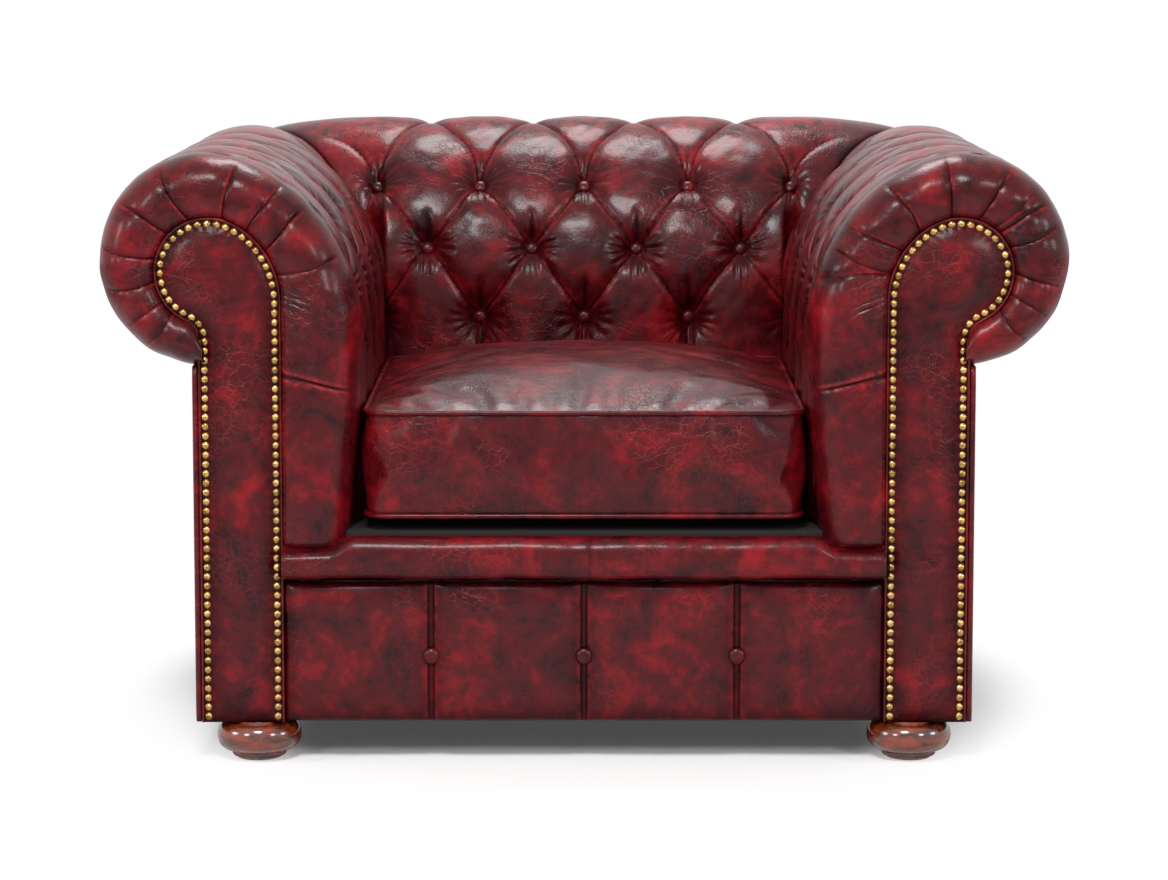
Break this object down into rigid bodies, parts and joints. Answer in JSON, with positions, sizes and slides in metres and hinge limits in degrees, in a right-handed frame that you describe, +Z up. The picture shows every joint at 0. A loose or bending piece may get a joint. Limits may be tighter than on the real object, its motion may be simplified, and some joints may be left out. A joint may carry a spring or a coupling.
{
  "type": "chesterfield armchair",
  "caption": "Deep buttoned leather club armchair with rolled arms level with its back, nailed scroll fronts, loose seat cushion and bun feet.",
  "frame": {"origin": "on the floor under the middle of the chair's box", "axes": "+X to the sitter's left as seen from the front on the right, +Y to the back, +Z up; the front faces -Y"},
  "size_m": [1.1002, 0.88, 0.7021],
  "materials": {
    "oxblood_leather": "antiqued hand rubbed leather, semi gloss",
    "foam": "open cell upholstery foam with a fibre wrap",
    "beech": "planed beech, unfinished",
    "mahogany": "turned hardwood, dark mahogany stain, gloss lacquer",
    "antique_brass": "antiqued domed nail heads",
    "spring_steel": "drawn wire and plated fittings",
    "jute": "woven jute",
    "platform_cloth": "plain woven platform cloth",
    "dust_cloth": "black bottom cloth",
    "nylon": "moulded glide"
  },
  "bodies": {
    "root": {"arm_cover_left": "oxblood_leather", "arm_cover_right": "oxblood_leather", "back_cover": "oxblood_leather", "arm_front_cover_left": "oxblood_leather", "arm_front_cover_right": "oxblood_leather", "arm_facing_left": "oxblood_leather", "arm_facing_right": "oxblood_leather", "outside_arm_left": "oxblood_leather", "outside_arm_right": "oxblood_leather", "outside_back": "oxblood_leather", "front_border": "oxblood_leather", "front_lip": "oxblood_leather", "arm_buttons_left": "oxblood_leather", "arm_buttons_right": "oxblood_leather", "back_buttons": "oxblood_leather", "border_buttons": "oxblood_leather", "arm_foam_left": "foam", "arm_foam_right": "foam", "back_foam": "foam", "arm_front_foam_left": "foam", "arm_front_foam_right": "foam", "deck_pad": "foam", "front_rail": "beech", "back_rail": "beech", "side_rail_left": "beech", "side_rail_right": "beech", "arm_tacking_rail_left": "beech", "arm_tacking_rail_right": "beech", "rear_seat_rail": "beech", "rear_post_left": "beech", "rear_post_right": "beech", "arm_post_left": "beech", "arm_post_right": "beech", "arm_top_rail_left": "beech", "arm_top_rail_right": "beech", "back_top_rail": "beech", "scroll_corner_board_left": "beech", "scroll_corner_board_right": "beech", "corner_blocks": "beech", "foot_front_left": "mahogany", "foot_front_right": "mahogany", "foot_rear_left": "mahogany", "foot_rear_right": "mahogany", "facing_nails_left": "antique_brass", "facing_nails_right": "antique_brass", "seat_springs": "spring_steel", "spring_clips": "spring_steel", "foot_bolts": "spring_steel", "arm_webbing_left": "jute", "arm_webbing_right": "jute", "back_webbing": "jute", "spring_cloth": "jute", "deck_cover": "platform_cloth", "dust_cover": "dust_cloth", "foot_glides": "nylon"},
    "seat_cushion": {"cushion_core": "foam", "cushion_top_panel": "oxblood_leather", "cushion_bottom_panel": "oxblood_leather", "cushion_border": "oxblood_leather", "cushion_piping": "oxblood_leather"}
  },
  "joints": [
    {"name": "cushion_lift", "type": "slide", "parent": "root", "child": "seat_cushion", "axis": [0, 0, 1], "range_m": [0, 0.45]}
  ]
}
